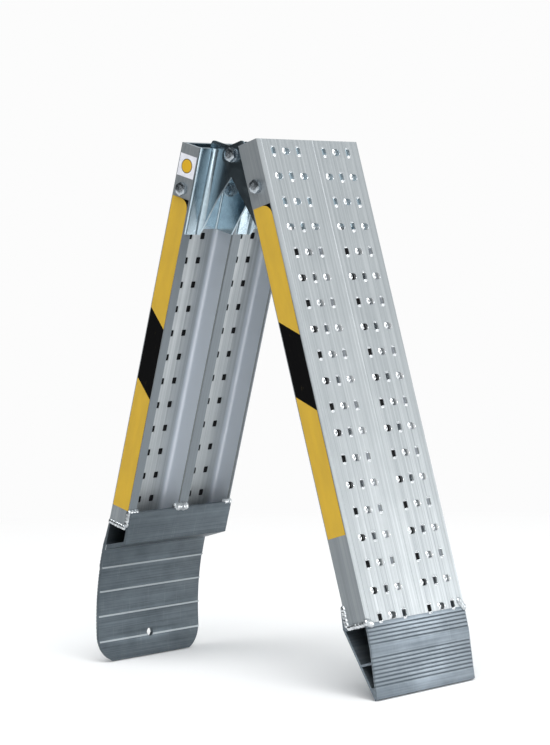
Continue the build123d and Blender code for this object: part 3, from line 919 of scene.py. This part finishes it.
# ---- Punched grip teeth ----
@dataclass
class GripTeeth:
    """Raised teeth along two opposite edges of each punched hole, in every plank."""

    half: Half
    planks: int = 2
    plank_width: float = 105.0
    columns: int = 3
    first_column: float = 29.7
    column_pitch: float = 25.5
    row_pitch: float = 35.7
    first_row: float = 17.0
    last: float = 659.75
    across: float = 8.4
    along: float = 9.5
    height: float = 2.7
    flare: float = 3.2
    thickness: float = 0.7
    uneven: float = 0.12
    bracket_end: float = 128.0
    filled: tuple[int, ...] = (0, 1, 2)
    seed: int = 7

    def tooth(self, length: float) -> bpy.types.Mesh:
        """One tooth along +Y whose inner face stands over the hole's edge at x = 0.

        Args:
            length: its length along the hole's edge.

        Returns:
            The template mesh, a flared ridge with its ends drawn down.
        """
        shape = bmesh.new()
        section = [(0.0, -0.4), (self.flare, -0.05), (0.5 * self.flare, 0.35 * self.height),
                   (self.thickness, self.height), (0.0, self.height)]
        corners = [shape.verts.new((x, -length / 2, z)) for x, z in section]
        rim = [shape.edges.new((a, b)) for a, b in zip(corners, corners[1:] + corners[:1])]
        steps = 6
        for _ in range(steps):
            grown = bmesh.ops.extrude_edge_only(shape, edges=rim)["geom"]
            verts = [g for g in grown if isinstance(g, bmesh.types.BMVert)]
            rim = [g for g in grown if isinstance(g, bmesh.types.BMEdge)]
            bmesh.ops.translate(shape, vec=(0, length / steps, 0), verts=verts)
        for vert in shape.verts:
            share = abs(2 * vert.co.y / length)
            crown = 1 - 0.75 * share ** 3
            if vert.co.z > 0:
                vert.co.z *= crown
            vert.co.x *= 1 - 0.35 * share ** 4
        bmesh.ops.holes_fill(shape, edges=shape.edges[:], sides=0)
        bmesh.ops.recalc_face_normals(shape, faces=shape.faces[:])
        mesh = bpy.data.meshes.new("tooth_template")
        shape.to_mesh(mesh)
        shape.free()
        return mesh

    def rows(self) -> int:
        """Number of rows of holes."""
        return int((self.last - self.first_row) // self.row_pitch) + 1

    def hole(self, index: int, row: int, column: int) -> tuple[float, float]:
        """Place of a hole's centre.

        Args:
            index: the plank, counted from the near side.
            row: the row, counted from the hinge.
            column: the column of the plank.

        Returns:
            Its u and v.
        """
        v = self.first_column + column * self.column_pitch
        if self.half.turned:
            v = self.plank_width - v
        return self.first_row + row * self.row_pitch, v + index * self.plank_width

    def piece_name(self, index: int, kind: str) -> str:
        """Name of one plank's piece."""
        return f"{self.half.body.split('_')[0]}_{('near', 'far')[index]}_{kind}"

    def build(self) -> None:
        """Make the teeth of each plank as one piece."""
        chance = random.Random(self.seed)
        side_tooth = self.tooth(self.along - 1.0)
        end_tooth = self.tooth(self.across - 0.8)
        for index in range(self.planks):
            shape = bmesh.new()
            for row in range(self.rows()):
                for column in range(self.columns):
                    centre = Vector((*self.hole(index, row, column), 0))
                    flat_way = (row + column) % 2 == 0
                    for turn in (0, 180):
                        size = 1 + chance.uniform(-self.uneven, self.uneven)
                        reach = self.along / 2 if flat_way else self.across / 2
                        template = end_tooth if flat_way else side_tooth
                        spin = math.radians(turn if flat_way else turn + 90)
                        place = (Matrix.Translation(centre) @ Matrix.Rotation(spin, 4, "Z")
                                 @ Matrix.Translation((reach, 0, 0))
                                 @ Matrix.Diagonal((1, 1, size, 1)))
                        append_copy(shape, template, place)
            finish_piece(self.piece_name(index, "grip_teeth"), shape, self.half, TEETH)
        bpy.data.meshes.remove(side_tooth)
        bpy.data.meshes.remove(end_tooth)

    def shade_plates(self) -> None:
        """Put a thin near-black plate in each hole of the filled columns past the bracket: painted shade that
        stands in for the dark seen through the open holes.
        """
        gap, depth, thick, rounding = 0.1, 1.55, 0.9, 1.2
        for index in range(self.planks):
            shape = bmesh.new()
            for row in range(self.rows()):
                for column in self.filled:
                    u, v = self.hole(index, row, column)
                    if u < self.bracket_end:
                        continue
                    place = (Matrix.Translation((u, v, -depth))
                             @ Matrix.Diagonal((self.along - gap, self.across - gap, thick, 1)))
                    made = bmesh.ops.create_cube(shape, size=1.0, matrix=place)
                    corners = {edge for vert in made["verts"] for edge in vert.link_edges
                               if abs(edge.verts[0].co.z - edge.verts[1].co.z) > thick / 2}
                    bmesh.ops.bevel(shape, geom=list(corners), offset=rounding,
                                    offset_type="OFFSET", segments=3, profile=0.5,
                                    material=-1, affect="EDGES")
            finish_piece(self.piece_name(index, "hole_shade_plates"), shape, self.half, HOLE_SHADE)


# ---- Weld beads ----
@dataclass(frozen=True)
class BeadRun:
    """One bead from a start to an end point, in flat (u, v, w) millimetres."""

    start: tuple[float, float, float]
    end: tuple[float, float, float]
    radius: float = 2.6
    normal: tuple[float, float, float] = (0.0, -1.0, 0.0)


@dataclass
class WeldBeads:
    """Every bead of one half, laid as overlapping ripples that stand off the joint."""

    half: Half
    node: str
    runs: list[BeadRun]
    spacing: float = 1.9
    seed: int = 11

    def blob(self, shape: bmesh.types.BMesh, centre: Vector, direction: Vector, normal: Vector,
             radius: float, chance: random.Random) -> None:
        """Add one ripple: a flattened ball pulled along the bead.

        Args:
            shape: the bmesh to add to.
            centre: its centre.
            direction: unit vector along the bead.
            normal: unit vector out of the joint.
            radius: the bead's radius.
            chance: the source of random numbers.
        """
        side = normal.cross(direction).normalized()
        basis = Matrix((direction, side, normal)).transposed().to_4x4()
        size = radius * chance.uniform(0.95, 1.08)
        scale = Matrix.Diagonal((1.1 * size, size * 1.15, 0.85 * size, 1))
        place = Matrix.Translation(centre) @ basis @ scale
        bmesh.ops.create_uvsphere(shape, u_segments=14, v_segments=8, radius=1.0, matrix=place)

    def build(self) -> bpy.types.Object:
        """Make the beads as one piece that stands for the CAD beads.

        Returns:
            The piece.
        """
        chance = random.Random(self.seed)
        shape = bmesh.new()
        for run in self.runs:
            start = Vector((run.start[0], run.start[1], -run.start[2]))
            end = Vector((run.end[0], run.end[1], -run.end[2]))
            normal = Vector((run.normal[0], run.normal[1], -run.normal[2])).normalized()
            length = (end - start).length
            direction = (end - start).normalized()
            count = max(2, round(length / self.spacing) + 1)
            for index in range(count):
                share = index / (count - 1)
                swell = 1.0 + 0.12 * math.sin(2.3 * index)
                sway = normal.cross(direction) * chance.uniform(-0.25, 0.25)
                centre = start.lerp(end, share) + sway
                self.blob(shape, centre, direction, normal, run.radius * swell, chance)
        name = self.node.replace("_welds", "_weld_beads")
        return finish_piece(name, shape, self.half, BEAD, (self.node,), 180.0)


FRONT = (-1.0, 0.0, 1.0)
DECK_UP = (0.0, 0.0, -1.0)


def side_runs(half: Half, flange: float, end: float, rail: float) -> list[BeadRun]:
    """Beads on both rails' outer sides: along the flange, then up the plank's end.

    Args:
        half: the half that is welded.
        flange: u where the end piece's flange starts.
        end: u of the planks' end.
        rail: depth of the rails.

    Returns:
        The beads, near rail first.
    """
    radius, inset, corner = 3.2, 4, 3
    runs = []
    for v, out in ((0.0, -1.0), (half.width, 1.0)):
        side = (0, out, 0)
        runs.append(BeadRun((flange + 1, v, rail), (end - inset, v, rail), radius, side))
        runs.append(BeadRun((end, v, rail - corner), (end, v, corner), radius, side))
    return runs


def foot_runs(half: Half) -> list[BeadRun]:
    """Beads of the foot half: flange front, deck corners and both rail sides.

    Args:
        half: the foot half.

    Returns:
        The beads.
    """
    end, flange, rail, width = 665.0, 637.0, 34.0, half.width
    front_w, deck_w = rail + 0.6, 0.4
    runs = [BeadRun((flange, 1.5, front_w), (flange, 13, front_w), 3.2, FRONT),
            BeadRun((flange, 95, front_w), (flange, 115, front_w), 3.6, FRONT),
            BeadRun((flange, width - 13, front_w), (flange, width - 1.5, front_w), 3.2, FRONT),
            BeadRun((end - 1, 1.0, deck_w), (end + 1, 8.5, deck_w), 4.8, DECK_UP),
            BeadRun((end - 8, width - 10, deck_w), (end + 2, width - 2.0, deck_w), 3.9,
                    DECK_UP)]
    return runs + side_runs(half, flange, end, rail)


def hook_runs(half: Half) -> list[BeadRun]:
    """Beads of the hook half: flange front, centre seam and both rail sides.

    Args:
        half: the hook half.

    Returns:
        The beads.
    """
    end, flange, rail, width = 555.0, 531.0, 34.0, half.width
    front_w, seam = rail + 0.6, flange - 1
    runs = [BeadRun((flange, 1.5, front_w), (flange, 15, front_w), 3.4, FRONT),
            BeadRun((seam, 96, front_w), (seam, 114, front_w), 5.4, FRONT),
            BeadRun((flange, width - 13, front_w), (flange, width - 1.5, front_w), 3.8, FRONT)]
    return runs + side_runs(half, flange, end, rail)


# ---- Fasteners ----
@dataclass
class HexFastener:
    """Hexagon heads, nuts and threaded ends, drawn along +Z from the bearing face."""

    flats: float = 17.0
    thread: float = 5.0
    pitch: float = 1.5

    def hexagon(self, shape: bmesh.types.BMesh, height: float, place: Matrix, washer: float,
                bore: bool) -> None:
        """Add a hexagon with its corners turned off in a cone.

        Args:
            shape: the bmesh to add to.
            height: the hexagon's height.
            place: matrix from the fastener to flat millimetres.
            washer: height of the round washer face under it.
            bore: whether the top is dished round a bore.
        """
        part = bmesh.new()
        segments = 48
        apothem = self.flats / 2
        rim = bmesh.ops.create_circle(part, cap_ends=True, segments=segments, radius=1.0)
        face = rim["verts"][0].link_faces[0]
        levels = [(0.94, 0.0, False), (0.94, washer, False), (1.0, washer, True),
                  (1.0, height, True), (0.95, height, False),
                  (0.62 if bore else 0.55, height - (0.25 if bore else -0.12), False)]
        self.ring(face.verts, apothem, *levels[0])
        for level in levels[1:]:
            grown = bmesh.ops.extrude_face_region(part, geom=[face])["geom"]
            cap = [item for item in grown if isinstance(item, bmesh.types.BMFace)][0]
            if face.is_valid:
                bmesh.ops.delete(part, geom=[face], context="FACES_ONLY")
            face = cap
            self.ring(face.verts, apothem, *level)
        floor = [edge for edge in part.edges if edge.is_boundary]
        bmesh.ops.holes_fill(part, edges=floor, sides=0)
        join(shape, part, place)

    @staticmethod
    def ring(verts: object, apothem: float, share: float, height: float, six: bool) -> None:
        """Move a ring of vertices onto a circle or onto the hexagon.

        Args:
            verts: the ring.
            apothem: half the width across flats.
            share: the circle's radius as a share of the apothem.
            height: the ring's height.
            six: whether the ring follows the hexagon's sides.
        """
        sixth = math.pi / 3
        for vert in verts:
            angle = math.atan2(vert.co.y, vert.co.x)
            reach = apothem * share
            level = height
            if six:
                reach = apothem / math.cos((angle % sixth) - sixth / 2)
                if height > 2:
                    level = height - (reach - 0.95 * apothem) * math.tan(math.radians(30))
            vert.co = Vector((reach * math.cos(angle), reach * math.sin(angle), level))

    def threaded(self, shape: bmesh.types.BMesh, start: float, end: float,
                 place: Matrix) -> None:
        """Add a threaded end: a wound ridge on a core with a chamfered tip.

        Args:
            shape: the bmesh to add to.
            start: height where the thread starts.
            end: height of the tip.
            place: matrix from the fastener to flat millimetres.
        """
        part = bmesh.new()
        steps = 24
        turns = max(2, int((end - start) / self.pitch) + 1)
        low = start - 0.5
        ridge = [(self.thread - 1.6, low), (self.thread - 0.85, low),
                 (self.thread - 0.02, low + 0.65), (self.thread - 0.02, low + 0.8),
                 (self.thread - 0.85, low + self.pitch), (self.thread - 1.6, low + self.pitch)]
        verts = [part.verts.new((r, 0, z)) for r, z in ridge]
        edges = [part.edges.new(pair) for pair in zip(verts, verts[1:] + verts[:1])]
        bmesh.ops.spin(part, geom=verts + edges, cent=(0, 0, 0), axis=(0, 0, 1),
                       angle=2 * math.pi * turns, steps=steps * turns,
                       dvec=(0, 0, self.pitch / steps), use_merge=False)
        ends = [edge for edge in part.edges if edge.is_boundary]
        bmesh.ops.holes_fill(part, edges=ends, sides=0)
        for vert in part.verts:
            limit = end - 0.3 - max(0.0, math.hypot(vert.co.x, vert.co.y) - 4.2)
            vert.co.z = min(vert.co.z, limit)
        core = end - start
        tip = Matrix.Translation((0, 0, start + core / 2))
        bmesh.ops.create_cone(part, cap_ends=True, segments=24, radius1=self.thread - 0.8,
                              radius2=self.thread - 0.8, depth=core, matrix=tip)
        join(shape, part, place)


@dataclass
class Fastenings:
    """Every bolt and nut of one half, with turned heads, washer faces and threads."""

    half: Half
    plank: float = 105.0
    head: float = 6.4
    nut: float = 8.0
    locknut: float = 10.0
    beyond: float = 2.0
    maker: HexFastener = field(default_factory=HexFastener)

    def inward(self, u: float, w: float, v: float, twist: float = 0.0) -> Matrix:
        """Matrix that points a fastener's +Z along +v at a place on the half."""
        return (Matrix.Translation((u, v, -w)) @ Matrix.Rotation(math.radians(-90), 4, "X")
                @ Matrix.Rotation(math.radians(twist), 4, "Z"))

    def outward(self, u: float, w: float, v: float, twist: float = 0.0) -> Matrix:
        """Matrix that points a fastener's +Z along -v at a place on the half."""
        return (Matrix.Translation((u, v, -w)) @ Matrix.Rotation(math.radians(90), 4, "X")
                @ Matrix.Rotation(math.radians(twist), 4, "Z"))

    def bolt(self, shape: bmesh.types.BMesh, grip: float, past: float, place: Matrix) -> None:
        """Add one bolt: head below the bearing face, plain shank, then a threaded end.

        Args:
            shape: the bmesh to add to.
            grip: length of the plain shank and what it clamps.
            past: length of thread past the grip.
            place: matrix from the bolt to flat millimetres.
        """
        over = place @ Matrix.Rotation(math.pi, 4, "X")
        self.maker.hexagon(shape, self.head, over, 0.5, False)
        shank = grip - 1.0
        middle = place @ Matrix.Translation((0, 0, shank / 2))
        bmesh.ops.create_cone(shape, cap_ends=True, segments=32, radius1=self.maker.thread - 0.1,
                              radius2=self.maker.thread - 0.1, depth=shank, matrix=middle)
        self.maker.threaded(shape, shank, grip + past, place)

    def collar(self, shape: bmesh.types.BMesh, base: float, place: Matrix) -> None:
        """Add the rounded collar of a locknut above its hexagon.

        Args:
            shape: the bmesh to add to.
            base: height where the collar starts.
            place: matrix from the nut to flat millimetres.
        """
        profile = [(7.4, base), (7.4, base + 1.2), (6.9, base + 1.9), (6.2, base + 2.2),
                   (5.3, base + 2.2), (5.3, base + 1.6)]
        self.turn(shape, profile, place)

    @staticmethod
    def turn(shape: bmesh.types.BMesh, profile: list[tuple[float, float]],
             place: Matrix) -> None:
        """Spin a closed outline of (radius, height) points into a ring.

        Args:
            shape: the bmesh to add to.
            profile: the outline, in order.
            place: matrix from the ring to flat millimetres.
        """
        part = bmesh.new()
        verts = [part.verts.new((r, 0, z)) for r, z in profile]
        edges = [part.edges.new(pair) for pair in zip(verts, verts[1:] + verts[:1])]
        bmesh.ops.spin(part, geom=verts + edges, cent=(0, 0, 0), axis=(0, 0, 1),
                       angle=2 * math.pi, steps=40, use_merge=True)
        join(shape, part, place)

    def finish(self, name: str, shape: bmesh.types.BMesh, node: str,
               finish: Finish | None = None) -> None:
        """Recalculate the normals and make the piece that stands for a CAD node.

        Args:
            name: the piece's name.
            shape: the mesh in flat millimetres.
            node: the CAD node that it stands for, or an empty name.
            finish: its finish, if not zinc plate.
        """
        bmesh.ops.recalc_face_normals(shape, faces=shape.faces[:])
        replaced = (node,) if node else ()
        finish_piece(name, shape, self.half, finish or PLATE, replaced, 30.0)

    def rail_set(self, far_ear: float) -> None:
        """The three bolts and nuts through the rails of this half.

        Args:
            far_ear: near face of the bracket's far wall, from the plank's near edge.
        """
        u, w, inside = 62.5, 17.5, 5.5
        word = self.half.body.split("_")[0]
        width = self.half.width
        bolts, nuts = bmesh.new(), bmesh.new()
        far_inside = self.plank + far_ear
        self.bolt(bolts, inside, self.nut + self.beyond, self.inward(u, w, 0, 8))
        self.bolt(bolts, self.plank + inside - far_ear, self.nut + self.beyond,
                  self.inward(u, w, far_ear, 21))
        self.bolt(bolts, width - far_inside, self.nut + self.beyond,
                  self.outward(u, w, width, 40))
        self.finish(f"{word}_rail_hex_bolts", bolts, f"{word}_rail_bolts")
        for place in (self.inward(u, w, inside, 14), self.inward(u, w, self.plank + inside, 47),
                      self.outward(u, w, far_inside, 3)):
            self.maker.hexagon(nuts, self.nut, place, 0.4, True)
        self.finish(f"{word}_rail_hex_nuts", nuts, f"{word}_rail_nuts")

    def pivot_set(self) -> None:
        """The two hinge bolts with their locknuts."""
        near, far, washer = 27.6, 102.5, 1.6
        depth = self.half.pivot_depth
        grip = far - near + 2 * washer
        bolts, nuts, rings = bmesh.new(), bmesh.new(), bmesh.new()
        heads = (self.inward(0, depth, near - washer, 12),
                 self.outward(0, depth, self.plank + far + washer, 33))
        ends = (self.inward(0, depth, far + washer, 25),
                self.outward(0, depth, self.plank + near - washer, 5))
        for place in heads:
            self.bolt(bolts, grip, self.locknut + self.beyond, place)
        for place in ends:
            self.maker.hexagon(nuts, self.locknut - 2.2, place, 0.4, True)
            self.collar(nuts, self.locknut - 2.3, place)
            self.turn(rings, [(6.1, self.locknut - 0.4), (5.05, self.locknut - 0.4),
                              (5.05, self.locknut - 1.4)], place)
        self.finish("pivot_hex_bolts", bolts, "pivot_bolts")
        self.finish("pivot_collar_nuts", nuts, "pivot_locknuts")
        self.finish("pivot_nylon_rings", rings, "", NYLON)


def softened(node: str, name: str, half: Half, finish: Finish, width: float,
             wide: float = 300.0, angle: float = 40.0) -> bpy.types.Object:
    """Copy a CAD node with its edges slightly rounded, and let the copy stand for it.

    Args:
        node: the CAD node.
        name: the piece's name.
        half: the half that it belongs to.
        finish: its finish.
        width: the rounding, in millimetres.
        wide: area above which a face is shaded flat, in square millimetres.
        angle: edges sharper than this are rounded, in degrees.

    Returns:
        The piece.
    """
    shape = bmesh.new()
    shape.from_mesh(frame["nodes"][node].data)
    bmesh.ops.remove_doubles(shape, verts=shape.verts[:], dist=0.002 * MM)
    bmesh.ops.dissolve_limit(shape, angle_limit=math.radians(0.4), verts=shape.verts[:],
                             edges=shape.edges[:])
    sharp = [edge for edge in shape.edges if len(edge.link_faces) == 2
             and edge.calc_face_angle(0.0) > math.radians(angle)]
    bmesh.ops.bevel(shape, geom=sharp, offset=width * MM, offset_type="OFFSET", segments=2,
                    profile=0.5, material=-1, affect="EDGES", clamp_overlap=True)
    return dress(name, shape, half, finish, (node,), 35.0, wide)


# ---- Studio ----
@dataclass
class Studio:
    """Pale floor, soft lights and the camera."""

    pin: Vector
    camera_offset: Vector = Vector((2.34295, -2.6305, -0.13966))
    yaw: float = 41.6584
    pitch: float = -2.6304
    roll: float = -0.8655
    lens: float = 122.04
    bright_side: tuple[float, float, float] = (0.62, 0.72, 0.3)
    dim_wall: str = "2E3133"
    mid_wall: str = "A4A8AB"
    bright_wall: str = "E2E6E8"
    backdrop: str = "FCFCFC"
    fade: tuple[float, float] = (0.6, 2.2)

    def floor(self) -> None:
        """A wide pale floor at the part's lowest point."""
        shape = bmesh.new()
        bmesh.ops.create_grid(shape, x_segments=1, y_segments=1, size=30.0)
        mesh = bpy.data.meshes.new("floor")
        shape.to_mesh(mesh)
        shape.free()
        floor = bpy.data.objects.new("floor", mesh)
        bpy.context.scene.collection.objects.link(floor)
        floor.location.z = cad_box[0].z - 0.0005
        paint = bpy.data.materials.new("matt_floor_paint")
        paint.use_nodes = True
        tree = paint.node_tree
        shader = tree.nodes["Principled BSDF"]
        shader.inputs["Base Color"].default_value = linear("F4F4F4")
        shader.inputs["Roughness"].default_value = 0.9
        shader.inputs["Specular IOR Level"].default_value = 0.1
        place = add_node(tree, "TexCoord").outputs["Object"]
        reach = add_node(tree, "VectorMath", {"operation": "LENGTH"}, {0: place}).outputs["Value"]
        faded = span(tree, reach, *self.fade, 0.0, 1.0)
        glow = add_node(tree, "Emission", inputs={"Color": linear(self.backdrop)})
        blend = add_node(tree, "MixShader", inputs={0: faded, 1: shader.outputs[0],
                                                    2: glow.outputs[0]})
        tree.links.new(blend.outputs[0], tree.nodes["Material Output"].inputs["Surface"])
        mesh.materials.append(paint)

    def light(self, name: str, place: tuple[float, float, float], target: Vector, size: float,
              power: float, tint: str = "FFFFFF") -> None:
        """Add one square soft light aimed at a point.

        Args:
            name: the lamp's name.
            place: where it stands, in metres.
            target: the point that it faces.
            size: width of its square, in metres.
            power: its power in watts.
            tint: its colour.
        """
        data = bpy.data.lights.new(name, "AREA")
        data.shape = "SQUARE"
        data.size = size
        data.energy = power
        data.color = linear(tint)[:3]
        lamp = bpy.data.objects.new(name, data)
        bpy.context.scene.collection.objects.link(lamp)
        lamp.location = place
        lamp.visible_camera = False
        aim = target - Vector(place)
        lamp.rotation_mode = "QUATERNION"
        lamp.rotation_quaternion = aim.to_track_quat("-Z", "Y")

    def sun(self) -> None:
        """Very soft overhead light that keeps the floor evenly pale."""
        data = bpy.data.lights.new("overhead", "SUN")
        data.energy = 2.3
        data.angle = math.radians(50)
        lamp = bpy.data.objects.new("overhead", data)
        bpy.context.scene.collection.objects.link(lamp)
        lamp.rotation_euler = (math.radians(24), math.radians(16), 0)

    def sky(self) -> None:
        """Studio walls: bright beyond the ramp, dim behind the camera's left shoulder."""
        world = bpy.data.worlds.new("studio_walls")
        bpy.context.scene.world = world
        world.use_nodes = True
        tree = world.node_tree
        background = tree.nodes["Background"]
        direction = add_node(tree, "TexCoord").outputs["Generated"]
        facing = add_node(tree, "VectorMath", {"operation": "DOT_PRODUCT"},
                          {0: direction, 1: self.bright_side}).outputs["Value"]
        walls = ramp(tree, span(tree, facing, -1.0, 1.0, 0.0, 1.0),
                     [(0.12, self.dim_wall), (0.45, self.mid_wall), (0.8, self.bright_wall)])
        seen = add_node(tree, "LightPath").outputs["Is Camera Ray"]
        colour = mix_colour(tree, seen, walls, linear(self.backdrop))
        tree.links.new(colour, background.inputs["Color"])
        background.inputs["Strength"].default_value = 1.0

    def camera(self) -> None:
        """The camera, by its place from the hinge pin and its three turns."""
        data = bpy.data.cameras.new("camera")
        data.lens = self.lens
        data.sensor_width = 36.0
        data.sensor_fit = "AUTO"
        data.dof.use_dof = False
        camera = bpy.data.objects.new("camera", data)
        bpy.context.scene.collection.objects.link(camera)
        yaw, pitch, roll = (math.radians(a) for a in (self.yaw, self.pitch, self.roll))
        ahead = Vector((-math.sin(yaw) * math.cos(pitch), math.cos(yaw) * math.cos(pitch),
                        math.sin(pitch)))
        level = Vector((math.cos(yaw), math.sin(yaw), 0))
        upright = level.cross(ahead)
        right = level * math.cos(roll) + upright * math.sin(roll)
        up = upright * math.cos(roll) - level * math.sin(roll)
        basis = Matrix((right, up, -ahead)).transposed()
        camera.rotation_mode = "QUATERNION"
        camera.rotation_quaternion = basis.to_quaternion()
        camera.location = Vector((self.pin.x, 0, self.pin.z)) + self.camera_offset
        bpy.context.scene.camera = camera

    def build(self) -> None:
        """Set the studio up."""
        middle = Vector((0, 0, 0.4))
        self.floor()
        self.sky()
        self.light("key", (3.4, -1.2, 2.4), middle, 1.8, 30)
        self.light("low_glow", (1.2, 1.15, 0.30), Vector((0.25, 0, 0.05)), 0.5, 5)
        self.light("fill", (2.7, -2.3, 0.4), middle, 1.2, 8)
        self.sun()
        self.camera()


def main() -> None:
    """Build the looks in order and report each piece."""
    logging.basicConfig(level=logging.INFO, format="%(name)s %(message)s")
    bpy.context.scene.view_settings.view_transform = "Standard"
    foot, hook = read_halves()
    for half in (foot, hook):
        word = half.body.split("_")[0]
        for place in ("near", "far"):
            cover_node(f"{word}_{place}_plank", half, DECK)
            cover_node(f"{word}_{place}_decal", half, FOOT_FILM if half is foot else HOOK_FILM)
            softened(f"{word}_{place}_bracket", f"{word}_{place}_pressed_bracket", half, SHEET,
                     0.5)
    softened("pivot_washers", "pivot_round_washers", foot, PLATE, 0.25)
    softened("pivot_sleeves", "pivot_turned_sleeves", hook, PLATE, 0.4)
    softened("hook_bolt_spacers", "hook_turned_spacers", hook, PLATE, 0.3)
    softened("wedge_foot", "wedge_foot_extrusion", foot, WEDGE, 0.3, 4000)
    softened("hook_lip", "hook_lip_extrusion", hook, TONGUE, 0.3, 4000)
    cover_node("warning_label", hook, LABEL)
    Fastenings(foot).rail_set(99.5)
    Fastenings(hook).rail_set(96.1)
    Fastenings(foot).pivot_set()
    for grips in (GripTeeth(foot, filled=(0,)),
                  GripTeeth(hook, first_row=27.0, last=549.25, seed=8)):
        grips.build()
        grips.shade_plates()
    WeldBeads(foot, "foot_welds", foot_runs(foot)).build()
    WeldBeads(hook, "hook_welds", hook_runs(hook), seed=12).build()
    Studio(foot.pin).build()


if __name__ == "__main__":
    main()
